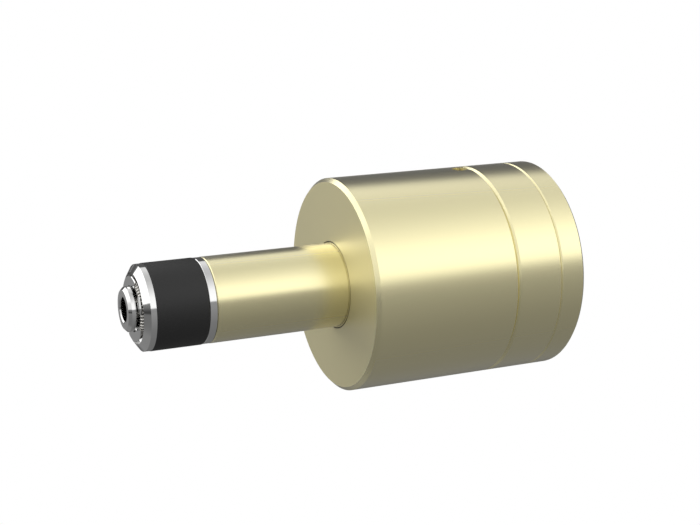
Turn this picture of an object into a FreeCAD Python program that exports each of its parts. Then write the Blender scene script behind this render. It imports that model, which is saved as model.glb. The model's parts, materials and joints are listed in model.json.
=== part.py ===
import FreeCAD, Part
import math
import os

# Internal pipe sealing connector, in millimetres.
# The axis of the connector is X. The nose points to -X, the pilot port to +Z.
# The origin is the centre of the rear face, at the mouth of the test port.

# Outside of the body
housing_radius = 28.63
front_housing_length = 40.65
middle_cover_length = 13.35
rear_cover_length = 7.25
front_edge_chamfer = 1.0
middle_edge_chamfer = 1.1
rear_joint_chamfer = 0.6
rear_edge_chamfer = 0.6
joint_edge_break = 0.2

# Clearances
rest_gap = 0.05
running_clearance = 0.05
press_clearance = 0.02
screw_clearance = 0.15

# Barrel, which the tube under test slides over
barrel_radius = 11.27
barrel_length = 36.2
barrel_bore_gap = 0.5
barrel_mouth_wall = 0.95
barrel_end_chamfer = 0.2
barrel_seat_step = 0.2
barrel_flange_radius = 15.8
barrel_flange_thickness = 4.0
front_wall_thickness = 10.0

# Threaded ring that holds the barrel's flange in the front wall
retaining_ring_thickness = 3.0
retaining_ring_bore_radius = 11.4
spanner_hole_radius = 1.1
spanner_hole_depth = 1.8
spanner_hole_count = 4

# Guide bush and wiper in the mouth of the barrel
bush_wall = 0.95
bush_length = 6.0
wiper_length = 2.4
wiper_inset = 0.6
bush_gap = 0.1

# Nose: collar, seal and support ring
nose_radius = 11.2
seal_radius = 11.3
seal_length = 13.74
seal_edge_chamfer = 0.15
support_ring_length = 2.14
support_ring_chamfer = 0.2
collar_rim_length = 1.49
collar_cone_length = 1.37
collar_recess_radius = 9.2
collar_recess_depth = 1.74
collar_hub_length = 4.5

# Mandrel, the fixed hollow rod through the whole connector
mandrel_radius = 7.5
mandrel_bore_radius = 3.2
mandrel_mouth_chamfer = 0.3
neck_radius = 4.55
head_radius = 5.8
head_rim_length = 1.08
head_chamfer = 0.75
mandrel_flange_radius = 12.5
mandrel_flange_thickness = 4.0

# Segments that lock the collar behind the mandrel's head: two narrow keys between two wide ones
segment_pairs = 2
narrow_segment_angle = 33.0
wide_segment_angle = 88.0
narrow_segment_turn = 70.5
segment_radius = 8.65
segment_thickness = 2.2
segment_lip_radius = 4.9
segment_lip_height = 0.4
segment_chamfer = 0.3

# Garter spring around the segments
garter_radius = 6.9
garter_coil_radius = 0.85
garter_rear_land = 0.28

# Piston and its sleeve
piston_thickness = 10.0
stop_boss_radius = 12.0
stop_boss_height = 3.85
piston_hub_radius = 13.0
piston_hub_height = 6.0
sleeve_seat_depth = 9.5
piston_edge_chamfer = 0.4
guide_ring_width = 3.6
guide_ring_thickness = 1.5
guide_ring_land = 1.2
seal_groove_depth = 1.9
seal_groove_width = 2.2
seal_groove_land = 1.5

# Small sealing rings, by the depth and width of their grooves
rod_groove_depth = 1.25
rod_groove_width = 1.8
hub_groove_depth = 0.85
hub_groove_width = 1.3
hub_groove_land = 0.9
face_groove_depth = 1.3
face_groove_width = 1.4
face_groove_land = 0.4
face_groove_web = 0.7
mouth_groove_depth = 1.0
mouth_groove_width = 1.3
mouth_groove_radius = 7.0

# Return spring
spring_wire_radius = 1.3
spring_turns = 2.75
spring_arcs_per_turn = 5
spring_side_gap = 1.0
spring_washer_thickness = 1.0
spring_washer_margin = 0.3

# Covers, screws and ports
cover_spigot_length = 1.0
rear_spigot_length = 5.0
test_port_radius = 5.72
screw_count = 6
screw_edge_distance = 4.03
screw_radius = 1.45
screw_head_radius = 2.75
screw_head_height = 3.0
screw_socket_width = 2.5
screw_socket_depth = 1.6
screw_head_edge = 0.25
screw_head_inset = 0.3
screw_grip_length = 8.0
screw_hole_spare = 1.0
pilot_port_setback = 2.6
pilot_port_radius = 2.1
pilot_port_mouth = 0.65
pilot_port_depth = 5.0
pilot_passage_radius = 1.2

# Stations along the axis, from the rear face to the tip of the nose
x_rear = 0.0
x_cover_joint = x_rear - rear_cover_length
x_housing_joint = x_cover_joint - middle_cover_length
x_front_face = x_housing_joint - front_housing_length
x_barrel_end = x_front_face - barrel_length
x_ring_rear = x_barrel_end - rest_gap
x_ring_front = x_ring_rear - support_ring_length
x_seal_front = x_ring_front - seal_length
x_collar_lip = x_seal_front - collar_rim_length - collar_cone_length
x_recess_floor = x_collar_lip + collar_recess_depth
x_segment_face = x_recess_floor - segment_thickness
x_head_rear = x_segment_face - segment_lip_height
x_tip = x_head_rear - head_rim_length - head_chamfer

# Stations inside the body
x_flange_rear = x_cover_joint - rear_spigot_length
x_flange_front = x_flange_rear - mandrel_flange_thickness
x_spigot_face = x_housing_joint - cover_spigot_length
x_stop = x_spigot_face - rest_gap
x_piston_rear = x_stop - stop_boss_height
x_piston_front = x_piston_rear - piston_thickness
x_hub_front = x_piston_front - piston_hub_height
x_sleeve_seat = x_hub_front + sleeve_seat_depth
x_wall_inside = x_front_face + front_wall_thickness
x_retainer_front = x_wall_inside - retaining_ring_thickness
x_barrel_flange = x_retainer_front - barrel_flange_thickness
x_mandrel_shoulder = x_seal_front + collar_hub_length

# Radii that follow from a neighbour and a clearance
screw_circle_radius = housing_radius - screw_edge_distance
screw_hole_radius = screw_radius + screw_clearance
screw_seat_radius = screw_head_radius + screw_clearance
face_groove_outer = screw_circle_radius - screw_hole_radius - face_groove_web
face_groove_inner = face_groove_outer - face_groove_width
cylinder_radius = face_groove_inner - face_groove_land
spring_radius = cylinder_radius - spring_side_gap - spring_wire_radius
pilot_radius = head_radius
bush_seat_radius = barrel_radius - barrel_mouth_wall
sleeve_radius = bush_seat_radius - press_clearance - bush_wall - running_clearance
barrel_bore_radius = sleeve_radius + barrel_bore_gap
sliding_bore_radius = mandrel_radius + running_clearance
sleeve_bore_radius = mandrel_radius + 2 * running_clearance
barrel_seat_radius = barrel_radius + barrel_seat_step
barrel_hole_radius = barrel_seat_radius + press_clearance
flange_seat_radius = barrel_flange_radius + press_clearance
cover_seat_radius = mandrel_flange_radius + press_clearance

axis_origin = FreeCAD.Vector(0, 0, 0)
axis_direction = FreeCAD.Vector(1, 0, 0)


def turned(points, angle=360.0, start=0.0):
    """Solid turned about the axis from an outline of (x, radius) points."""
    corners = [FreeCAD.Vector(x, 0, radius) for x, radius in points]
    face = Part.Face(Part.makePolygon(corners + corners[:1]))
    solid = face.revolve(axis_origin, axis_direction, angle)
    solid.rotate(axis_origin, axis_direction, start)
    return solid


def tube(x_low, x_high, inner, outer):
    """Plain ring or tube between two stations."""
    return turned([(x_low, inner), (x_low, outer), (x_high, outer), (x_high, inner)])


def round_ring(x_middle, inner, outer, width):
    """Sealing ring of round section, as large as the groove that holds it lets it be."""
    section = min(outer - inner, width) / 2 - press_clearance
    return Part.makeTorus((inner + outer) / 2, section, FreeCAD.Vector(x_middle, 0, 0), axis_direction)


def around(make_one, count, first_angle=0.0):
    """Copies of one shape spaced evenly about the axis."""
    copies = []
    for index in range(count):
        copy = make_one.copy()
        copy.rotate(axis_origin, axis_direction, first_angle + index * 360.0 / count)
        copies.append(copy)
    return copies


def axial_hole(x_low, x_high, radius, circle_radius):
    """Cutter for a hole along the axis, at the top of a circle of holes."""
    start = FreeCAD.Vector(x_low, 0, circle_radius)
    return Part.makeCylinder(radius, x_high - x_low, start, axis_direction)


def screw_holes(x_low, x_high, radius):
    """Cutters for the ring of cover screws, which stand either side of the pilot port."""
    one_hole = axial_hole(x_low, x_high, radius, screw_circle_radius)
    return around(one_hole, screw_count, 180.0 / screw_count)


def pilot_port_cutter():
    """Threaded mouth, its countersink and the passage to the cylinder."""
    x_port = x_housing_joint - pilot_port_setback
    up = FreeCAD.Vector(0, 0, 1)
    z_floor = housing_radius - pilot_port_depth
    mouth = Part.makeCylinder(
        pilot_port_radius, 2 * pilot_port_depth, FreeCAD.Vector(x_port, 0, z_floor), up)
    countersink = Part.makeCone(
        pilot_port_radius, pilot_port_radius + 2 * pilot_port_mouth, 2 * pilot_port_mouth,
        FreeCAD.Vector(x_port, 0, housing_radius - pilot_port_mouth), up)
    passage = Part.makeCylinder(
        pilot_passage_radius, housing_radius - cylinder_radius + pilot_port_depth,
        FreeCAD.Vector(x_port, 0, cylinder_radius - pilot_passage_radius), up)
    return mouth.fuse([countersink, passage])


def make_housing_body():
    body = turned([
        (x_front_face, barrel_hole_radius),
        (x_front_face, housing_radius - front_edge_chamfer),
        (x_front_face + front_edge_chamfer, housing_radius),
        (x_housing_joint - joint_edge_break, housing_radius),
        (x_housing_joint, housing_radius - joint_edge_break),
        (x_housing_joint, cylinder_radius),
        (x_wall_inside, cylinder_radius),
        (x_wall_inside, flange_seat_radius),
        (x_barrel_flange, flange_seat_radius),
        (x_barrel_flange, barrel_hole_radius),
    ])
    threads = screw_holes(
        x_housing_joint - screw_grip_length - screw_hole_spare, x_housing_joint + screw_hole_spare,
        screw_radius + press_clearance)
    return body.cut(threads + [pilot_port_cutter()])


def make_front_barrel():
    x_bush_rear = x_barrel_end + wiper_inset + wiper_length + bush_gap + bush_length
    return turned([
        (x_barrel_end, bush_seat_radius),
        (x_barrel_end, barrel_radius - barrel_end_chamfer),
        (x_barrel_end + barrel_end_chamfer, barrel_radius),
        (x_front_face, barrel_radius),
        (x_front_face, barrel_seat_radius),
        (x_barrel_flange, barrel_seat_radius),
        (x_barrel_flange, barrel_flange_radius),
        (x_retainer_front, barrel_flange_radius),
        (x_retainer_front, barrel_bore_radius),
        (x_bush_rear, barrel_bore_radius),
        (x_bush_rear, bush_seat_radius),
    ])


def make_barrel_retaining_ring():
    ring = tube(x_retainer_front, x_wall_inside, retaining_ring_bore_radius, barrel_flange_radius)
    circle = (retaining_ring_bore_radius + barrel_flange_radius) / 2
    one_hole = axial_hole(
        x_wall_inside - spanner_hole_depth, x_wall_inside + spanner_hole_depth,
        spanner_hole_radius, circle)
    return ring.cut(around(one_hole, spanner_hole_count))


def make_barrel_wiper():
    x_front = x_barrel_end + wiper_inset
    x_back = x_front + wiper_length
    outer = bush_seat_radius - press_clearance
    lip = sleeve_radius + running_clearance
    heel = lip + bush_wall / 2
    return turned([
        (x_front, lip), (x_front, lip + bush_wall / 3), (x_front + wiper_length / 3, heel),
        (x_front + wiper_length / 3, outer), (x_back, outer), (x_back, heel),
        (x_front + 2 * wiper_length / 3, lip + bush_wall / 4),
    ])


def make_barrel_guide_bush():
    x_front = x_barrel_end + wiper_inset + wiper_length + bush_gap
    return tube(
        x_front, x_front + bush_length,
        sleeve_radius + running_clearance, bush_seat_radius - press_clearance)


def make_middle_cover():
    spigot_radius = cylinder_radius - running_clearance
    cover = turned([
        (x_spigot_face, sliding_bore_radius),
        (x_spigot_face, spigot_radius),
        (x_housing_joint, spigot_radius),
        (x_housing_joint, face_groove_inner),
        (x_housing_joint + face_groove_depth, face_groove_inner),
        (x_housing_joint + face_groove_depth, face_groove_outer),
        (x_housing_joint, face_groove_outer),
        (x_housing_joint, housing_radius - middle_edge_chamfer),
        (x_housing_joint + middle_edge_chamfer, housing_radius),
        (x_cover_joint - joint_edge_break, housing_radius),
        (x_cover_joint, housing_radius - joint_edge_break),
        (x_cover_joint, cover_seat_radius),
        (x_flange_front, cover_seat_radius),
        (x_flange_front, sliding_bore_radius),
    ])
    x_groove = (x_spigot_face + x_flange_front) / 2
    groove = tube(
        x_groove - rod_groove_width / 2, x_groove + rod_groove_width / 2,
        mandrel_radius, sliding_bore_radius + rod_groove_depth)
    holes = screw_holes(x_spigot_face, x_rear, screw_hole_radius)
    return cover.cut([groove] + holes)


def make_cover_bore_oring():
    x_groove = (x_spigot_face + x_flange_front) / 2
    return round_ring(
        x_groove, mandrel_radius, sliding_bore_radius + rod_groove_depth, rod_groove_width)


def make_cover_face_oring():
    return round_ring(
        x_housing_joint + face_groove_depth / 2, face_groove_inner, face_groove_outer,
        face_groove_depth)


def make_rear_cover():
    cover = turned([
        (x_flange_rear, test_port_radius),
        (x_flange_rear, mouth_groove_radius),
        (x_flange_rear + mouth_groove_depth, mouth_groove_radius),
        (x_flange_rear + mouth_groove_depth, mouth_groove_radius + mouth_groove_width),
        (x_flange_rear, mouth_groove_radius + mouth_groove_width),
        (x_flange_rear, mandrel_flange_radius),
        (x_cover_joint, mandrel_flange_radius),
        (x_cover_joint, housing_radius - rear_joint_chamfer),
        (x_cover_joint + rear_joint_chamfer, housing_radius),
        (x_rear - rear_edge_chamfer, housing_radius),
        (x_rear, housing_radius - rear_edge_chamfer),
        (x_rear, test_port_radius),
    ])
    shanks = screw_holes(x_flange_rear, x_rear, screw_hole_radius)
    x_seat = x_rear - screw_head_inset - screw_head_height
    heads = screw_holes(x_seat, x_rear + screw_hole_spare, screw_seat_radius)
    return cover.cut(shanks + heads)


def make_mandrel_face_oring():
    return round_ring(
        x_flange_rear + mouth_groove_depth / 2, mouth_groove_radius,
        mouth_groove_radius + mouth_groove_width, mouth_groove_depth)


def make_cover_screws():
    x_top = x_rear - screw_head_inset
    x_seat = x_top - screw_head_height
    x_end = x_housing_joint - screw_grip_length
    outline = [
        (x_end, 0), (x_end, screw_radius - screw_head_edge), (x_end + screw_head_edge, screw_radius),
        (x_seat, screw_radius), (x_seat, screw_head_radius),
        (x_top - screw_head_edge, screw_head_radius), (x_top, screw_head_radius - screw_head_edge),
        (x_top, 0),
    ]
    screw = turned(outline)
    corner_radius = screw_socket_width / math.sqrt(3)
    corners = []
    for index in range(7):
        angle = math.radians(60 * index)
        corners.append(FreeCAD.Vector(
            x_top - screw_socket_depth, corner_radius * math.cos(angle),
            corner_radius * math.sin(angle)))
    socket = Part.Face(Part.makePolygon(corners)).extrude(FreeCAD.Vector(2 * screw_socket_depth, 0, 0))
    screw = screw.cut(socket)
    screw.translate(FreeCAD.Vector(0, 0, screw_circle_radius))
    return Part.makeCompound(around(screw, screw_count, 180.0 / screw_count))


def make_mandrel():
    x_chamfer = x_tip + head_chamfer
    return turned([
        (x_tip, mandrel_bore_radius + mandrel_mouth_chamfer),
        (x_tip, head_radius - head_chamfer),
        (x_chamfer, head_radius),
        (x_head_rear, head_radius),
        (x_head_rear, neck_radius),
        (x_recess_floor, neck_radius),
        (x_recess_floor, pilot_radius),
        (x_mandrel_shoulder, pilot_radius),
        (x_mandrel_shoulder, mandrel_radius),
        (x_flange_front, mandrel_radius),
        (x_flange_front, mandrel_flange_radius),
        (x_flange_rear, mandrel_flange_radius),
        (x_flange_rear, mandrel_bore_radius),
        (x_tip + mandrel_mouth_chamfer, mandrel_bore_radius),
    ])


def make_front_collar():
    hub_bore = pilot_radius + running_clearance
    groove_start = x_recess_floor + hub_groove_land
    return turned([
        (x_recess_floor, hub_bore),
        (x_recess_floor, collar_recess_radius),
        (x_collar_lip, collar_recess_radius),
        (x_collar_lip + collar_cone_length, nose_radius),
        (x_seal_front, nose_radius),
        (x_seal_front, mandrel_radius),
        (x_mandrel_shoulder, mandrel_radius),
        (x_mandrel_shoulder, hub_bore),
        (groove_start + hub_groove_width, hub_bore),
        (groove_start + hub_groove_width, hub_bore + hub_groove_depth),
        (groove_start, hub_bore + hub_groove_depth),
        (groove_start, hub_bore),
    ])


def make_collar_oring():
    x_groove = x_recess_floor + hub_groove_land + hub_groove_width / 2
    return round_ring(
        x_groove, pilot_radius, pilot_radius + running_clearance + hub_groove_depth,
        hub_groove_width)


def make_retainer_segments():
    groove_rear = x_recess_floor - garter_rear_land
    groove_front = groove_rear - 2 * (garter_coil_radius + press_clearance)
    groove_floor = garter_radius - garter_coil_radius - press_clearance
    inner = neck_radius + running_clearance
    outline = [
        (x_recess_floor, inner),
        (x_recess_floor, segment_radius),
        (groove_rear, segment_radius),
        (groove_rear, groove_floor),
        (groove_front, groove_floor),
        (groove_front, segment_radius),
        (x_segment_face + segment_chamfer, segment_radius),
        (x_segment_face, segment_radius - segment_chamfer),
        (x_segment_face, segment_lip_radius),
        (x_head_rear, segment_lip_radius),
        (x_head_rear, inner),
    ]
    narrow = turned(outline, narrow_segment_angle, -narrow_segment_angle / 2)
    wide = turned(outline, wide_segment_angle, -wide_segment_angle / 2)
    wide_segment_turn = narrow_segment_turn + 180.0 / segment_pairs
    return Part.makeCompound(
        around(narrow, segment_pairs, narrow_segment_turn) + around(wide, segment_pairs, wide_segment_turn))


def make_garter_spring():
    x_middle = x_recess_floor - garter_rear_land - press_clearance - garter_coil_radius
    return Part.makeTorus(
        garter_radius, garter_coil_radius, FreeCAD.Vector(x_middle, 0, 0), axis_direction)


def make_main_seal():
    bore = mandrel_radius + running_clearance
    edge = seal_radius - seal_edge_chamfer
    return turned([
        (x_seal_front, bore), (x_seal_front, edge),
        (x_seal_front + seal_edge_chamfer, seal_radius),
        (x_ring_front - seal_edge_chamfer, seal_radius),
        (x_ring_front, edge), (x_ring_front, bore),
    ])


def make_support_ring():
    edge = nose_radius - support_ring_chamfer
    return turned([
        (x_ring_front, sleeve_bore_radius), (x_ring_front, edge),
        (x_ring_front + support_ring_chamfer, nose_radius),
        (x_ring_rear - support_ring_chamfer, nose_radius),
        (x_ring_rear, edge), (x_ring_rear, sleeve_bore_radius),
    ])


def make_push_sleeve():
    return tube(x_ring_rear, x_sleeve_seat, sleeve_bore_radius, sleeve_radius)


def guide_groove_front():
    return x_piston_front + guide_ring_land


def seal_groove_front():
    return x_piston_rear - seal_groove_land - seal_groove_width


def rod_groove_middle():
    return (x_sleeve_seat + x_stop) / 2


def make_piston():
    outer = cylinder_radius - running_clearance
    guide_front = guide_groove_front()
    guide_floor = cylinder_radius - guide_ring_thickness
    seal_front = seal_groove_front()
    seal_floor = cylinder_radius - seal_groove_depth
    blank = turned([
        (x_hub_front, sleeve_radius + press_clearance),
        (x_hub_front, piston_hub_radius - piston_edge_chamfer),
        (x_hub_front + piston_edge_chamfer, piston_hub_radius),
        (x_piston_front, piston_hub_radius),
        (x_piston_front, outer - piston_edge_chamfer),
        (x_piston_front + piston_edge_chamfer, outer),
        (guide_front, outer),
        (guide_front, guide_floor),
        (guide_front + guide_ring_width, guide_floor),
        (guide_front + guide_ring_width, outer),
        (seal_front, outer),
        (seal_front, seal_floor),
        (seal_front + seal_groove_width, seal_floor),
        (seal_front + seal_groove_width, outer),
        (x_piston_rear - piston_edge_chamfer, outer),
        (x_piston_rear, outer - piston_edge_chamfer),
        (x_piston_rear, stop_boss_radius),
        (x_stop, stop_boss_radius),
        (x_stop, sliding_bore_radius),
        (x_sleeve_seat, sliding_bore_radius),
        (x_sleeve_seat, sleeve_radius + press_clearance),
    ])
    x_groove = rod_groove_middle()
    rod_groove = tube(
        x_groove - rod_groove_width / 2, x_groove + rod_groove_width / 2,
        mandrel_radius, sliding_bore_radius + rod_groove_depth)
    return blank.cut(rod_groove)


def make_piston_guide_ring():
    front = guide_groove_front() + press_clearance
    return tube(
        front, front + guide_ring_width - 2 * press_clearance,
        cylinder_radius - guide_ring_thickness, cylinder_radius - press_clearance)


def make_piston_seal():
    return round_ring(
        seal_groove_front() + seal_groove_width / 2, cylinder_radius - seal_groove_depth,
        cylinder_radius, seal_groove_width)


def make_piston_inner_oring():
    return round_ring(
        rod_groove_middle(), mandrel_radius, sliding_bore_radius + rod_groove_depth,
        rod_groove_width)


def make_spring_washer():
    reach = spring_wire_radius + spring_washer_margin
    return tube(
        x_wall_inside, x_wall_inside + spring_washer_thickness,
        spring_radius - reach, spring_radius + reach)


def make_return_spring():
    """Wire along short arcs through the points of a helix, from the washer to the piston."""
    end_gap = spring_wire_radius + press_clearance
    x_start = x_wall_inside + spring_washer_thickness + end_gap
    pitch = (x_piston_front - end_gap - x_start) / spring_turns

    def helix_point(turn):
        angle = 2 * math.pi * turn
        return FreeCAD.Vector(
            x_start + pitch * turn, spring_radius * math.cos(angle), spring_radius * math.sin(angle))

    step_count = 2 * math.ceil(spring_turns * spring_arcs_per_turn)
    points = [helix_point(spring_turns * step / step_count) for step in range(step_count + 1)]
    arcs = [Part.Arc(*points[start:start + 3]).toShape() for start in range(0, step_count, 2)]
    along = arcs[0].tangentAt(arcs[0].FirstParameter)
    section = Part.makeCircle(spring_wire_radius, helix_point(0), along)
    return Part.Wire(arcs).makePipeShell([Part.Wire(section)], True, False)


makers = {
    "housing_body": make_housing_body,
    "front_barrel": make_front_barrel,
    "barrel_retaining_ring": make_barrel_retaining_ring,
    "barrel_wiper": make_barrel_wiper,
    "barrel_guide_bush": make_barrel_guide_bush,
    "middle_cover": make_middle_cover,
    "cover_bore_oring": make_cover_bore_oring,
    "cover_face_oring": make_cover_face_oring,
    "rear_cover": make_rear_cover,
    "mandrel_face_oring": make_mandrel_face_oring,
    "cover_screws": make_cover_screws,
    "mandrel": make_mandrel,
    "front_collar": make_front_collar,
    "collar_oring": make_collar_oring,
    "retainer_segments": make_retainer_segments,
    "garter_spring": make_garter_spring,
    "main_seal": make_main_seal,
    "support_ring": make_support_ring,
    "push_sleeve": make_push_sleeve,
    "piston": make_piston,
    "piston_guide_ring": make_piston_guide_ring,
    "piston_seal": make_piston_seal,
    "piston_inner_oring": make_piston_inner_oring,
    "spring_washer": make_spring_washer,
    "return_spring": make_return_spring,
}

os.makedirs("parts", exist_ok=True)
for name, make in makers.items():
    make().exportStep("parts/" + name + ".step")
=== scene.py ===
import json
import math

import bmesh
import bpy
from mathutils import Matrix, Vector


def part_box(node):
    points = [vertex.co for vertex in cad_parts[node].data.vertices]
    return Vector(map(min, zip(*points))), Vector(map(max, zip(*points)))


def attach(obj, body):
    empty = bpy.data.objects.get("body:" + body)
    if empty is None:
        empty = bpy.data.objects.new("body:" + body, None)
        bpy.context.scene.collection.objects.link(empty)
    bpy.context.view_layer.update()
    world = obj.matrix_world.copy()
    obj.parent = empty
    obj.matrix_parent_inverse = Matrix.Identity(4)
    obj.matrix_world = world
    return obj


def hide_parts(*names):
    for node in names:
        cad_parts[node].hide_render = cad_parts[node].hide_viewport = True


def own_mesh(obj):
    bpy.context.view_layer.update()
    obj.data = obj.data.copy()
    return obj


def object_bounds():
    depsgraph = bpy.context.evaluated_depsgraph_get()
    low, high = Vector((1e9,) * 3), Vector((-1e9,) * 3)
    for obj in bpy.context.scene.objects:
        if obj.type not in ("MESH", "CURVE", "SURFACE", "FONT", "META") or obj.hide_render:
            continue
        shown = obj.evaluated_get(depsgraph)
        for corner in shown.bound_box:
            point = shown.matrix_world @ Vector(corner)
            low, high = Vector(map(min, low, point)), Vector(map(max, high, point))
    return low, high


mm = 0.001
near = 0.02 * mm  # how exactly a point is found by its place
weldDistance = 0.0002 * mm  # points closer than this are one point

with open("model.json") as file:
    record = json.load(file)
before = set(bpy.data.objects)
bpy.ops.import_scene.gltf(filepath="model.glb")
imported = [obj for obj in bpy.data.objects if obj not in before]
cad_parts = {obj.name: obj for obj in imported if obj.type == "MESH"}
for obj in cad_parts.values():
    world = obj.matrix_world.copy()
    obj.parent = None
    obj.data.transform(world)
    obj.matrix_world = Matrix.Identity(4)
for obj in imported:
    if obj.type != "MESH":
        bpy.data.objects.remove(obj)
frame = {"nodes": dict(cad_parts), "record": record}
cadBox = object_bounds()
nodes = frame["nodes"]
print("frame loaded,", len(nodes), "nodes")


# camera, at the photograph's viewpoint
cameraSettings = {
    "place": Vector((-210.286, -339.711, 101.651)) * mm,
    "azimuth": -24.413,  # degrees round from straight in front
    "elevation": 14.435,
    "lens": 73.727,  # millimetres, as is the sensor's width
    "sensorWidth": 36,
    "clip": (0.01, 20),
}


def makeCamera(settings):
    data = bpy.data.cameras.new("studioCamera")
    data.lens = settings["lens"]
    data.sensor_width = settings["sensorWidth"]
    data.clip_start, data.clip_end = settings["clip"]
    camera = bpy.data.objects.new("studioCamera", data)
    camera.location = settings["place"]
    camera.rotation_euler = (
        math.radians(90 - settings["elevation"]), 0, math.radians(settings["azimuth"]))
    bpy.context.scene.collection.objects.link(camera)
    bpy.context.scene.camera = camera


makeCamera(cameraSettings)


# colours and nodes
def linear(hexColour):
    parts = [int(hexColour[i:i + 2], 16) / 255 for i in (1, 3, 5)]
    return tuple(p / 12.92 if p <= 0.04045 else ((p + 0.055) / 1.055) ** 2.4 for p in parts) + (1,)


def addNode(tree, kind, settings=None, inputs=None, links=None):
    node = tree.nodes.new(kind)
    for name, value in (settings or {}).items():
        setattr(node, name, value)
    for name, value in (inputs or {}).items():
        node.inputs[name].default_value = value
    for name, socket in (links or {}).items():
        tree.links.new(socket, node.inputs[name])
    return node


# studio surroundings, seen only in the metal: a panel in front, a ceiling, a panel behind
# and one at the nose's end, over a grey floor. Names that end in X, Y or Z give the directions
# between which a light changes, from -1 to 1 along that axis
studio = {
    # degrees round the connector's length, from straight in front over the top, and brightness
    "round": [
        (-180, 0.10), (-150, 0.13), (-127, 0.2), (-111, 0.2), (-95, 0.207), (-79, 0.213), (-63, 0.228),
        (-47, 0.24), (-15, 0.32), (1, 0.37), (9, 0.39), (10.5, 0.46), (12.7, 1.35), (15, 1.5), (25, 1.5),
        (41, 1.42), (57, 1.12), (73, 0.9), (89, 0.76), (105, 0.78), (121, 0.95), (129, 1.05), (180, 1.05),
    ],
    "slantX": (0.33, 0.52),  # between these the panels' long edges turn by the degrees below
    "slant": (1.2, -3.4),
    "gainX": (-0.1, 0.9),  # and here they gain brightness, from the nose's end to the far end
    "gain": (0.835, 1.135),
    "horizonZ": (-0.02, 0.02),  # soft edge of all that begins at the horizon
    "behindY": (-0.01, 0.01),
    "backPanelFaces": (-0.483, -0.407, 0.775),  # its lower edge lies square to this direction
    "backPanelSoftness": 0.035,
    "backWallX": (0.31, 0.33),  # the dark wall under the back panel, and its darker far end
    "backWall": (0.12, 0.02),
    "cornerX": (0.05, -0.25),  # panel behind and to the nose's side, seen in the chamfers
    "cornerY": (0.1, 0.35),
    "cornerPanelZ": (0.55, 0.75),
    "cornerPanel": (2.0, 1.1),
    "cornerFloorZ": (-0.35, -0.2),  # floor below that panel, near the object and further off
    "cornerFloor": (0.29, 0.31),
    "endPanelX": (-0.60, -0.74),  # panel past the nose, dimmer on the camera's side
    "endPanelZ": (0.015, 0.045),
    "endPanelY": (-0.15, 0.15),
    "endPanel": (1.0, 1.75),
    "endGapX": (-0.86, -0.92),  # dark slot between that panel and the floor, paler higher up
    "endGapZ": (-0.21, -0.16),
    "endGap": (0.06, 0.25),
}


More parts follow.
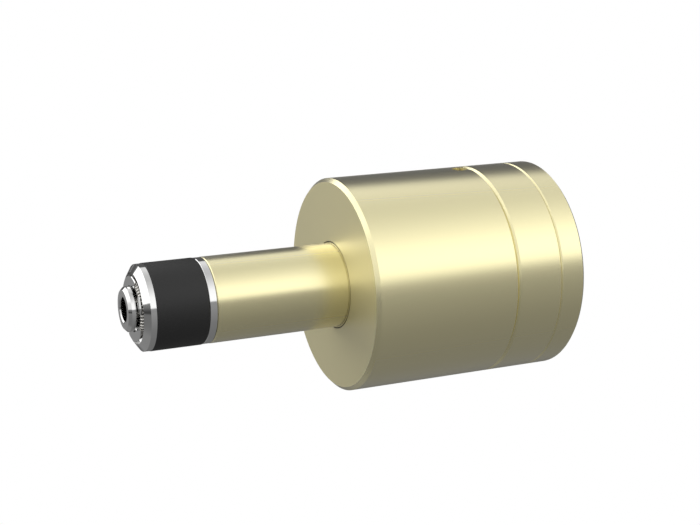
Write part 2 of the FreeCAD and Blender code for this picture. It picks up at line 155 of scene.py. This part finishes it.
def makeWorld(values):
    world = bpy.data.worlds.new("studio")
    bpy.context.scene.world = world
    world.use_nodes = True
    tree = world.node_tree
    tree.nodes.clear()

    def ramped(source, between, levels=(0.0, 1.0), shape="SMOOTHSTEP"):
        return addNode(tree, "ShaderNodeMapRange", {"interpolation_type": shape}, {
            "From Min": between[0], "From Max": between[1], "To Min": levels[0], "To Max": levels[1]},
            {"Value": source}).outputs[0]

    def mixed(start, end, amount):
        return addNode(tree, "ShaderNodeMapRange", {}, {}, {
            "Value": amount, "To Min": start, "To Max": end}).outputs[0]

    def times(first, second):
        return addNode(tree, "ShaderNodeMath", {"operation": "MULTIPLY"}, {}, {
            0: first, 1: second}).outputs[0]

    where = addNode(tree, "ShaderNodeTexCoord").outputs["Generated"]
    split = addNode(tree, "ShaderNodeSeparateXYZ", links={"Vector": where})
    x, y, z = split.outputs
    front = addNode(tree, "ShaderNodeMath", {"operation": "MULTIPLY"}, {1: -1.0}, {0: y})
    angle = addNode(tree, "ShaderNodeMath", {"operation": "ARCTAN2"}, {}, {0: z, 1: front.outputs[0]})
    turn = ramped(angle.outputs[0], (-math.pi, math.pi), shape="LINEAR")
    slant = ramped(x, values["slantX"], [degrees / 360 for degrees in values["slant"]], "LINEAR")
    slanted = addNode(tree, "ShaderNodeMath", {}, {}, {0: turn, 1: slant})
    ramp = addNode(tree, "ShaderNodeValToRGB", {}, {}, {"Fac": slanted.outputs[0]})
    marks = ramp.color_ramp.elements
    while len(marks) < len(values["round"]):
        marks.new(0.5)
    for mark, (degrees, level) in zip(marks, values["round"]):
        mark.position = (degrees + 180) / 360
        mark.color = (level, level, level, 1)
    above = ramped(z, values["horizonZ"])
    below = ramped(z, values["horizonZ"], (1.0, 0.0))
    gain = ramped(x, values["gainX"], values["gain"], "LINEAR")
    lit = addNode(tree, "ShaderNodeMapRange", {}, {"To Min": 1.0}, {"Value": above, "To Max": gain})
    level = times(ramp.outputs["Color"], lit.outputs[0])

    # the corner behind, to the nose's side
    corner = times(ramped(x, values["cornerX"]), ramped(y, values["cornerY"]))
    panel = ramped(z, values["cornerPanelZ"], values["cornerPanel"])
    level = mixed(level, panel, times(corner, above))
    floor = ramped(z, values["cornerFloorZ"], values["cornerFloor"])
    level = mixed(level, floor, times(corner, below))

    # behind and above the horizon it is dark below the back panel's edge
    towards = addNode(tree, "ShaderNodeVectorMath", {"operation": "DOT_PRODUCT"}, {
        1: values["backPanelFaces"]}, {0: where})
    soft = values["backPanelSoftness"]
    underPanel = ramped(towards.outputs["Value"], (soft, -soft))
    behind = ramped(y, values["behindY"])
    wall = ramped(x, values["backWallX"], values["backWall"])
    level = mixed(level, wall, times(times(behind, above), underPanel))

    # the panel past the nose, and the dark slot under it
    raised = ramped(z, values["endPanelZ"])
    panel = ramped(y, values["endPanelY"], values["endPanel"])
    level = mixed(level, panel, times(ramped(x, values["endPanelX"]), raised))
    slotTop = ramped(z, values["endPanelZ"], (1.0, 0.0))
    slotBottom = ramped(z, values["endGapZ"])
    shade = ramped(z, (values["endGapZ"][1], 0.0), values["endGap"])
    level = mixed(level, shade, times(ramped(x, values["endGapX"]), times(slotBottom, slotTop)))
    background = addNode(tree, "ShaderNodeBackground", {}, {"Strength": 1.0}, {"Color": level})
    addNode(tree, "ShaderNodeOutputWorld", {}, {}, {"Surface": background.outputs[0]})


makeWorld(studio)


# pale floor and backdrop, which neither light the object nor show in it
stageSettings = {
    "colour": "#ffffff",
    "floorRadius": 2.0,
    "floorSides": 96,
    "floorGap": 0.2 * mm,  # from the floor up to the object
    "backdropRadius": 3.0,
    "backdropSegments": 48,
    "backdropRings": 24,
}


def paleMaterial(name, colour):
    material = bpy.data.materials.new(name)
    material.use_nodes = True
    tree = material.node_tree
    tree.nodes.clear()
    glow = addNode(tree, "ShaderNodeEmission", {}, {"Color": linear(colour), "Strength": 1.0})
    addNode(tree, "ShaderNodeOutputMaterial", {}, {}, {"Surface": glow.outputs[0]})
    return material


def stagePiece(bm, name, material):
    mesh = bpy.data.meshes.new(name)
    bm.to_mesh(mesh)
    bm.free()
    mesh.materials.append(material)
    piece = bpy.data.objects.new(name, mesh)
    piece.visible_glossy = False
    piece.visible_diffuse = False
    piece.visible_shadow = False
    bpy.context.scene.collection.objects.link(piece)


def makeStage(settings):
    pale = paleMaterial("whiteStudioPaper", settings["colour"])
    floor = bmesh.new()
    bmesh.ops.create_circle(
        floor, cap_ends=True, radius=settings["floorRadius"], segments=settings["floorSides"])
    bmesh.ops.translate(floor, verts=floor.verts, vec=(0, 0, cadBox[0].z - settings["floorGap"]))
    stagePiece(floor, "floor", pale)
    backdrop = bmesh.new()
    bmesh.ops.create_uvsphere(
        backdrop, u_segments=settings["backdropSegments"], v_segments=settings["backdropRings"],
        radius=settings["backdropRadius"])
    stagePiece(backdrop, "backdrop", pale)


makeStage(stageSettings)
print("camera, studio and stage made")


# materials
patternSettings = {
    "range": (0.3, 0.7),  # the noise seldom leaves it
    "metalDetail": 2.0,
    "mouldedDetail": 3.0,
    "grainUnevenness": 0.6,
    "ringUnevenness": 0.7,
    "metalHeight": 0.01 * mm,  # full height of a metal's grain and turning marks
    "mouldedHeight": 0.02 * mm,
    "flatRange": (0.8, 0.98),  # how square to the axis a face is, while the faces' own finish comes in
}


def turnedPattern(tree, marks):
    # rings about the axis: the pattern changes along the length and with the radius only
    where = addNode(tree, "ShaderNodeTexCoord").outputs["Object"]
    split = addNode(tree, "ShaderNodeSeparateXYZ", links={"Vector": where})
    across = addNode(tree, "ShaderNodeCombineXYZ", links={"Y": split.outputs["Y"], "Z": split.outputs["Z"]})
    radius = addNode(tree, "ShaderNodeVectorMath", {"operation": "LENGTH"}, {}, {0: across.outputs[0]})
    profile = addNode(tree, "ShaderNodeCombineXYZ", links={
        "X": split.outputs["X"], "Y": radius.outputs["Value"]})
    return addNode(tree, "ShaderNodeTexNoise", {}, {
        "Scale": 1 / (marks * mm), "Detail": patternSettings["metalDetail"],
        "Roughness": patternSettings["ringUnevenness"]}, {"Vector": profile.outputs[0]}).outputs["Fac"]


def grainPattern(tree, size, detail):
    where = addNode(tree, "ShaderNodeTexCoord").outputs["Object"]
    return addNode(tree, "ShaderNodeTexNoise", {}, {
        "Scale": 1 / (size * mm), "Detail": detail, "Roughness": patternSettings["grainUnevenness"]}, {
        "Vector": where}).outputs["Fac"]


def metalMaterial(settings):
    material = bpy.data.materials.new(settings["name"])
    material.use_nodes = True
    tree = material.node_tree
    shader = tree.nodes["Principled BSDF"]
    shader.inputs["Base Color"].default_value = linear(settings["colour"])
    shader.inputs["Metallic"].default_value = 1.0
    if "coat" in settings:
        shader.inputs["Coat Weight"].default_value = settings["coat"]
        shader.inputs["Coat Roughness"].default_value = settings["coatRoughness"]
        shader.inputs["Coat IOR"].default_value = settings["coatIOR"]
        shader.inputs["Sheen Weight"].default_value = settings["sheen"]
        shader.inputs["Sheen Roughness"].default_value = settings["sheenRoughness"]
    grain = grainPattern(tree, settings["grain"], patternSettings["metalDetail"])
    rings = turnedPattern(tree, settings["turningMarks"])
    least, most = patternSettings["range"]
    finish = addNode(tree, "ShaderNodeMapRange", {}, {
        "From Min": least, "From Max": most,
        "To Min": settings["roughness"] * (1 - settings["ringContrast"]),
        "To Max": settings["roughness"] * (1 + settings["ringContrast"])}, {"Value": rings}).outputs[0]
    if "faceRoughness" in settings:  # flat faces square to the axis are duller than the diameters
        normal = addNode(tree, "ShaderNodeNewGeometry").outputs["Normal"]
        towards = addNode(tree, "ShaderNodeSeparateXYZ", links={"Vector": normal})
        flat = addNode(tree, "ShaderNodeMath", {"operation": "ABSOLUTE"}, {}, {0: towards.outputs["X"]})
        start, full = patternSettings["flatRange"]
        finish = addNode(tree, "ShaderNodeMapRange", {}, {
            "From Min": start, "From Max": full, "To Max": settings["faceRoughness"]}, {
            "Value": flat.outputs[0], "To Min": finish}).outputs[0]
    tree.links.new(finish, shader.inputs["Roughness"])
    height = patternSettings["metalHeight"]
    ringBump = addNode(tree, "ShaderNodeBump", {}, {
        "Strength": settings["markDepth"], "Distance": height}, {"Height": rings})
    bump = addNode(tree, "ShaderNodeBump", {}, {
        "Strength": settings["grainDepth"], "Distance": height}, {
        "Height": grain, "Normal": ringBump.outputs["Normal"]})
    tree.links.new(bump.outputs["Normal"], shader.inputs["Normal"])
    return material


def mouldedMaterial(settings):
    material = bpy.data.materials.new(settings["name"])
    material.use_nodes = True
    tree = material.node_tree
    shader = tree.nodes["Principled BSDF"]
    grain = grainPattern(tree, settings["grain"], patternSettings["mouldedDetail"])
    shade = addNode(tree, "ShaderNodeValToRGB", {}, {}, {"Fac": grain})
    marks = shade.color_ramp.elements
    for mark, place, colour in zip(marks, patternSettings["range"], settings["colours"]):
        mark.position = place
        mark.color = linear(colour)
    tree.links.new(shade.outputs["Color"], shader.inputs["Base Color"])
    shader.inputs["Roughness"].default_value = settings["roughness"]
    bump = addNode(tree, "ShaderNodeBump", {}, {
        "Strength": settings["grainDepth"], "Distance": patternSettings["mouldedHeight"]}, {
        "Height": grain})
    tree.links.new(bump.outputs["Normal"], shader.inputs["Normal"])
    return material


# aluminium, turned, blasted fine and anodised pale gold: broad soft highlights under a clear layer
goldAnodised = metalMaterial({
    "name": "goldAnodisedAluminium", "colour": "#ece2a8", "roughness": 0.27, "faceRoughness": 0.5,
    "coat": 1.0, "coatIOR": 2.2, "coatRoughness": 0.3, "sheen": 0.15, "sheenRoughness": 0.55,
    "grain": 0.3, "grainDepth": 0.05, "turningMarks": 0.3, "markDepth": 0.0, "ringContrast": 0.01})
# stainless steel, turned and polished: sharp light and dark reflections
polishedSteel = metalMaterial({
    "name": "polishedStainless", "colour": "#d9d9d8", "roughness": 0.07,
    "grain": 0.5, "grainDepth": 0.03, "turningMarks": 0.15, "markDepth": 0.12, "ringContrast": 0.08})
# stainless steel, ground: greyer, blurred reflections with fine rings
groundSteel = metalMaterial({
    "name": "groundStainless", "colour": "#bcbcba", "roughness": 0.22,
    "grain": 0.3, "grainDepth": 0.06, "turningMarks": 0.12, "markDepth": 0.3, "ringContrast": 0.08})
# bright drawn spring wire, faintly brown from its tempering
springWire = metalMaterial({
    "name": "drawnSpringWire", "colour": "#cbc9c4", "roughness": 0.26,
    "grain": 0.2, "grainDepth": 0.05, "turningMarks": 0.4, "markDepth": 0.0, "ringContrast": 0.08})
# aluminium straight from the lathe: pale, with clear turning rings
bareAluminium = metalMaterial({
    "name": "bareTurnedAluminium", "colour": "#d4d4d6", "roughness": 0.26,
    "grain": 0.3, "grainDepth": 0.05, "turningMarks": 0.2, "markDepth": 0.4, "ringContrast": 0.08})
# bearing bronze, bored: warm brown gold
bearingBronze = metalMaterial({
    "name": "bearingBronze", "colour": "#c89858", "roughness": 0.3,
    "grain": 0.3, "grainDepth": 0.1, "turningMarks": 0.2, "markDepth": 0.3, "ringContrast": 0.08})
# alloy steel screws, black oxide with a trace of oil: nearly black with soft grey edges
blackOxide = metalMaterial({
    "name": "blackOxideSteel", "colour": "#3c3c3e", "roughness": 0.36,
    "grain": 0.15, "grainDepth": 0.25, "turningMarks": 0.3, "markDepth": 0.0, "ringContrast": 0.08})
# nitrile rubber, moulded matt: near black with a faint bloom
sealRubber = mouldedMaterial({
    "name": "nitrileSealRubber", "colours": ("#1b1b1b", "#202020"), "roughness": 0.6,
    "grain": 0.35, "grainDepth": 0.15})
# nitrile rings, moulded smooth and greased: black with a small shine
ringRubber = mouldedMaterial({
    "name": "nitrileRingRubber", "colours": ("#1d1d1d", "#232323"), "roughness": 0.4,
    "grain": 0.5, "grainDepth": 0.1})
# filled PTFE, turned: waxy off-white
filledPtfe = mouldedMaterial({
    "name": "filledPtfe", "colours": ("#cfc6b4", "#dad2c2"), "roughness": 0.45,
    "grain": 0.4, "grainDepth": 0.1})

finishes = {
    "gold_anodised_body": goldAnodised,
    "gold_anodised_barrel": goldAnodised,
    "polished_steel": polishedSteel,
    "ground_steel": groundSteel,
    "bare_aluminium": bareAluminium,
    "spring_steel": springWire,
    "seal_rubber": sealRubber,
    "nitrile_rings": ringRubber,
    "guide_plastic": filledPtfe,
    "bronze": bearingBronze,
    "black_screws": blackOxide,
}
slotOf = {}
for part in frame["record"]["subparts"]:
    slotOf[part["node"]] = part["material_slot"]
    piece = nodes[part["node"]]
    piece.data.materials.clear()
    piece.data.materials.append(finishes[part["material_slot"]])
print("materials set")


# pieces that stand for a CAD node
def finishPiece(bm, name, node, body, smoothAngle):
    # edges that turn by more than the angle, in degrees, are shaded sharp
    mesh = bpy.data.meshes.new(name)
    bm.to_mesh(mesh)
    bm.free()
    if "custom_normal" in mesh.attributes:  # left over from a CAD node's copy
        mesh.attributes.remove(mesh.attributes["custom_normal"])
    mesh.shade_smooth()
    mesh.set_sharp_from_angle(angle=math.radians(smoothAngle))
    mesh.materials.append(finishes[slotOf[node]])
    piece = bpy.data.objects.new(name, mesh)
    bpy.context.scene.collection.objects.link(piece)
    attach(piece, body)
    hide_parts(node)
    return piece


def spinFull(bm, steps):
    geometry = bm.verts[:] + bm.edges[:] + bm.faces[:]
    bmesh.ops.spin(
        bm, geom=geometry, cent=(0, 0, 0), axis=(1, 0, 0), angle=2 * math.pi, steps=steps,
        use_merge=True)
    bmesh.ops.remove_doubles(bm, verts=bm.verts, dist=weldDistance)
    bmesh.ops.recalc_face_normals(bm, faces=bm.faces)


def windCoil(bm, wireRadius, windRadius, turns, length, sides, stepsPerTurn):
    # round wire wound along the X axis
    ring = bmesh.ops.create_circle(bm, segments=sides, radius=wireRadius)["verts"]
    bmesh.ops.translate(bm, verts=ring, vec=(0, windRadius, 0))
    steps = round(turns * stepsPerTurn)
    bmesh.ops.spin(
        bm, geom=bm.verts[:] + bm.edges[:], cent=(0, 0, 0), axis=(1, 0, 0),
        dvec=(length / steps, 0, 0), angle=turns * 2 * math.pi, steps=steps)


# garter spring round the locking segments: a fine coil closed into a ring
garterSettings = {
    "wireDiameter": 0.72 * mm,
    "fullness": 1.12,  # coil diameter over the room that the CAD ring fills
    "turns": 52,  # the coils touch on the ring's inner side
    "sides": 8,
    "stepsPerTurn": 12,
    "joinDistance": 0.005 * mm,  # where the coil's two ends meet
}


def makeGarterCoil(settings):
    low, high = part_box("garter_spring")
    coilRadius = (high.x - low.x) / 2
    ringRadius = high.z - coilRadius
    middle = (low.x + high.x) / 2
    wireRadius = settings["wireDiameter"] / 2
    windRadius = coilRadius * settings["fullness"] - wireRadius
    bm = bmesh.new()
    windCoil(
        bm, wireRadius, windRadius, settings["turns"], 2 * math.pi * ringRadius,
        settings["sides"], settings["stepsPerTurn"])
    for vert in bm.verts:  # bend the straight coil round into the ring
        turn = vert.co.x / ringRadius
        reach = ringRadius + vert.co.y
        vert.co = (middle + vert.co.z, -reach * math.cos(turn), reach * math.sin(turn))
    bmesh.ops.remove_doubles(bm, verts=bm.verts, dist=settings["joinDistance"])
    bmesh.ops.recalc_face_normals(bm, faces=bm.faces)
    finishPiece(bm, "garterCoil", "garter_spring", "body", smoothAngle=80)


# locking keys behind the mandrel's head: their faces step back round it, which leaves a dark gap
keySettings = {
    "boreRadius": 4.6 * mm,
    "lipRadius": 4.9 * mm,
    "radius": 8.65 * mm,
    "chamfer": 0.3 * mm,
    "faceBack": 0.4 * mm,  # from the lip's end, which meets the head, back to the face
    "stepRadius": 5.95 * mm,
    "stepDepth": 1.2 * mm,
    "grooveRadius": 6.03 * mm,  # floor of the garter spring's groove
    "grooveFront": 0.58 * mm,  # from the lip's end
    "grooveRear": 0.28 * mm,  # from the rear face
    "spans": ((3, 36), (65.5, 153.5), (183, 216), (245.5, 333.5)),  # degrees, from the front over the top
    "degreesPerStep": 2.75,
}


def makeLockingKeys(settings):
    low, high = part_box("retainer_segments")
    bore, lip, step = settings["boreRadius"], settings["lipRadius"], settings["stepRadius"]
    groove, radius = settings["grooveRadius"], settings["radius"]
    face = low.x + settings["faceBack"]
    bottom = face + settings["stepDepth"]
    front = low.x + settings["grooveFront"]
    rear = high.x - settings["grooveRear"]
    edge = radius - settings["chamfer"]
    outline = [
        (high.x, bore), (high.x, radius), (rear, radius), (rear, groove), (front, groove),
        (front, edge + front - face), (face, edge), (face, step), (bottom, step), (bottom, lip),
        (low.x, lip), (low.x, bore)]
    bm = bmesh.new()
    for start, end in settings["spans"]:
        steps = round((end - start) / settings["degreesPerStep"])
        rings = []
        for i in range(steps + 1):
            turn = math.radians(start + (end - start) * i / steps)
            rings.append([bm.verts.new((x, -r * math.cos(turn), r * math.sin(turn))) for x, r in outline])
        for first, second in zip(rings, rings[1:]):
            for i in range(len(outline)):
                bm.faces.new((first[i - 1], first[i], second[i], second[i - 1]))
        bm.faces.new(rings[0])
        bm.faces.new(rings[-1])
    bmesh.ops.recalc_face_normals(bm, faces=bm.faces)
    finishPiece(bm, "lockingKeys", "retainer_segments", "body", smoothAngle=30)


# main seal: moulded rubber ring, squeezed between the support ring and the collar
sealSettings = {
    "boreRadius": 7.55 * mm,
    "edgeRadius": 0.3 * mm,
    "edgeSteps": 3,
    "steps": 120,
    "keep": 0.745,  # share of its length left when the piston is right forward
}


def makeMainSeal(settings):
    low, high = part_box("main_seal")
    bm = bmesh.new()
    bore = settings["boreRadius"]
    corners = [(low.x, bore), (low.x, high.z), (high.x, high.z), (high.x, bore)]
    verts = [bm.verts.new((x, 0, radius)) for x, radius in corners]
    for start, end in zip(verts, verts[1:] + verts[:1]):
        bm.edges.new((start, end))
    spinFull(bm, settings["steps"])
    outerRims = [
        edge for edge in bm.edges
        if all(vert.co.yz.length > high.z - near for vert in edge.verts)
        and abs(edge.verts[0].co.x - edge.verts[1].co.x) < near]
    bmesh.ops.bevel(
        bm, geom=outerRims, offset=settings["edgeRadius"], offset_type="OFFSET",
        segments=settings["edgeSteps"], profile=0.5, material=-1, affect="EDGES")
    seal = finishPiece(bm, "mainSealRing", "main_seal", "body", smoothAngle=40)
    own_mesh(seal)


# return spring: open coil with its ends drawn in and ground flat
springSettings = {
    "wireRadius": 1.3 * mm,
    "turns": 2.75,
    "endInset": 0.8 * mm,  # wire centre to the ground end, less than the wire's radius
    "closing": 0.62,  # how far the pitch closes at the ends
    "sides": 16,
    "stepsPerTurn": 40,
    "keep": 0.763,
}


def makeReturnSpring(settings):
    low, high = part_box("return_spring")
    windRadius = high.z - settings["wireRadius"]
    length = high.x - low.x - 2 * settings["endInset"]
    bm = bmesh.new()
    windCoil(
        bm, settings["wireRadius"], windRadius, settings["turns"], length,
        settings["sides"], settings["stepsPerTurn"])
    bmesh.ops.rotate(
        bm, verts=bm.verts, cent=(0, 0, 0), matrix=Matrix.Rotation(math.radians(90), 3, "X"))
    boundary = [edge for edge in bm.edges if edge.is_boundary]
    bmesh.ops.holes_fill(bm, edges=boundary)
    for vert in bm.verts:  # draw the end coils in
        share = vert.co.x / length
        vert.co.x -= settings["closing"] * length * math.sin(2 * math.pi * share) / (2 * math.pi)
        vert.co.x += low.x + settings["endInset"]
    for place, side in ((low.x, -1), (high.x, 1)):
        cut = bmesh.ops.bisect_plane(
            bm, geom=bm.verts[:] + bm.edges[:] + bm.faces[:], plane_co=(place, 0, 0),
            plane_no=(side, 0, 0), clear_outer=True)
        rim = [item for item in cut["geom_cut"] if isinstance(item, bmesh.types.BMEdge)]
        bmesh.ops.holes_fill(bm, edges=rim)
    bmesh.ops.recalc_face_normals(bm, faces=bm.faces)
    spring = finishPiece(bm, "returnSpringCoil", "return_spring", "body", smoothAngle=40)
    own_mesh(spring)


# threads cut in the ports of the rear cover and the housing, on copies of their CAD meshes
threadForm = {
    "flat": 0.12,  # share of the pitch that is level at the crest, and at the root
    "endGap": 0.1 * mm,  # plain wall between the thread's end and the hole's bottom
    "lean": 0.1,  # how far the wall's faces may lean from the hole's length
}
testPort = {  # G1/4, in the rear cover
    "minor": 5.72 * mm,
    "major": 6.58 * mm,
    "pitch": 1.337 * mm,
    "top": 0.0,
    "bottom": -12.25 * mm,
    "mouth": 6.75 * mm,  # radius of the chamfer's outer edge
    "lead": 1.03 * mm,  # from the top down to the thread
    "ringsPerPitch": 10,
    "steps": 72,
    "place": Matrix.Rotation(math.radians(90), 4, "Y"),
}
pilotPort = {  # M5, on top of the housing, under its countersink
    "minor": 2.1 * mm,
    "major": 2.5 * mm,
    "pitch": 0.8 * mm,
    "top": 27.98 * mm,
    "bottom": 23.63 * mm,
    "mouth": None,
    "lead": 1.2 * mm,
    "ringsPerPitch": 8,
    "steps": 48,
    "place": Matrix.Translation((-23.2 * mm, 0, 0)),
}
housingSettings = {
    "countersink": (2.4 * mm, 3.2 * mm),  # its rim lies between these radii
    "pilotMouth": 2.15 * mm,  # radius that the rim is drawn in to
    "seamWidth": 0.3 * mm,  # slot round the barrel at the front face
    "seamDepth": 0.9 * mm,
}


def mergedCopy(node):
    bm = bmesh.new()
    bm.from_mesh(nodes[node].data)
    bmesh.ops.remove_doubles(bm, verts=bm.verts, dist=weldDistance)
    return bm


def cutThread(bm, port):
    # the bore's plain wall gives way to a finely divided tube, whose points move out into the thread
    bmesh.ops.transform(bm, matrix=port["place"].inverted(), verts=bm.verts)
    top, bottom, pitch = port["top"], port["bottom"], port["pitch"]
    start = top - port["lead"]
    end = bottom + threadForm["endGap"]

    def onWall(vert, low, high):
        return abs(vert.co.xy.length - port["minor"]) < near and low - near < vert.co.z < high + near

    plain = [
        face for face in bm.faces
        if abs(face.normal.z) < threadForm["lean"]
        and all(onWall(vert, bottom, top) for vert in face.verts)]
    bmesh.ops.delete(bm, geom=plain, context="FACES")
    tube = bmesh.ops.create_cone(
        bm, cap_ends=False, segments=port["steps"], radius1=port["minor"], radius2=port["minor"],
        depth=start - end)["verts"]
    bmesh.ops.translate(bm, verts=tube, vec=(0, 0, (start + end) / 2))
    upright = [
        edge for edge in bm.edges
        if all(onWall(vert, end, start) for vert in edge.verts)
        and abs(edge.verts[0].co.z - edge.verts[1].co.z) > near]
    rings = round((start - end) / pitch * port["ringsPerPitch"])
    bmesh.ops.subdivide_edges(bm, edges=upright, cuts=rings - 1, use_grid_fill=True)
    for vert in bm.verts:
        if onWall(vert, end, start):
            turn = math.atan2(vert.co.y, vert.co.x) / (2 * math.pi)
            phase = (vert.co.z / pitch - turn) % 1
            rise = (1 - abs(2 * phase - 1) - threadForm["flat"]) / (1 - 2 * threadForm["flat"])
            fade = min(1, (start - vert.co.z) / pitch, (vert.co.z - end) / pitch)
            depth = min(1, max(0, rise)) * max(0, fade)
            reach = port["minor"] + (port["major"] - port["minor"]) * depth
            vert.co.x, vert.co.y = vert.co.xy.normalized() * reach
    rims = [edge for edge in bm.edges if edge.is_boundary]
    upper = [edge for edge in rims if edge.verts[0].co.z > (start + end) / 2]
    lower = [edge for edge in rims if edge.verts[0].co.z < (start + end) / 2]
    if port["mouth"]:  # the hole's own edge widens to a chamfer
        for vert in {vert for edge in upper for vert in edge.verts if vert.co.z > start + near}:
            vert.co.x, vert.co.y = vert.co.xy.normalized() * port["mouth"]
    bmesh.ops.bridge_loops(bm, edges=upper)
    bmesh.ops.bridge_loops(bm, edges=lower)
    bmesh.ops.transform(bm, matrix=port["place"], verts=bm.verts)
    bmesh.ops.recalc_face_normals(bm, faces=bm.faces)


def makeThreadedCover(port):
    bm = mergedCopy("rear_cover")
    cutThread(bm, port)
    finishPiece(bm, "rearCoverThreaded", "rear_cover", "body", smoothAngle=30)


def drawCountersinkIn(bm, port, settings):
    place = port["place"].to_translation()
    outside = max(vert.co.yz.length for vert in bm.verts)
    least, most = settings["countersink"]
    for vert in bm.verts:  # the rim stays on the housing's round outside
        across = (vert.co - place).xy
        if vert.co.z > port["top"] and least < across.length < most:
            across *= settings["pilotMouth"] / across.length
            vert.co = (place.x + across.x, across.y, math.sqrt(outside ** 2 - across.y ** 2))


def cutSeam(bm, settings):
    width = settings["seamWidth"]
    front = min(vert.co.x for vert in bm.verts)
    hole = min(vert.co.yz.length for vert in bm.verts if vert.co.x < front + near)
    rim = [
        edge for edge in bm.edges
        if all(vert.co.x < front + near and vert.co.yz.length < hole + near for vert in edge.verts)]
    bmesh.ops.bevel(
        bm, geom=rim, offset=width, offset_type="OFFSET", segments=1, profile=0.5,
        material=-1, affect="EDGES")
    for vert in bm.verts:  # push the bevel's inner edge back, so that it becomes a narrow slot
        if abs(vert.co.x - front - width) < near and abs(vert.co.yz.length - hole) < near:
            vert.co.x = front + settings["seamDepth"]
            vert.co.y, vert.co.z = vert.co.yz * (1 + width / 2 / hole)


def makeThreadedHousing(port, settings):
    bm = mergedCopy("housing_body")
    cutThread(bm, port)
    drawCountersinkIn(bm, port, settings)
    cutSeam(bm, settings)
    bmesh.ops.recalc_face_normals(bm, faces=bm.faces)
    finishPiece(bm, "housingThreaded", "housing_body", "body", smoothAngle=30)


makeThreadedCover(testPort)
makeThreadedHousing(pilotPort, housingSettings)
print("threads and seam cut")
makeGarterCoil(garterSettings)
makeLockingKeys(keySettings)
print("garter spring and locking keys made")
makeMainSeal(sealSettings)
makeReturnSpring(springSettings)
print("seal and return spring made")

bpy.context.scene.view_settings.view_transform = "Standard"
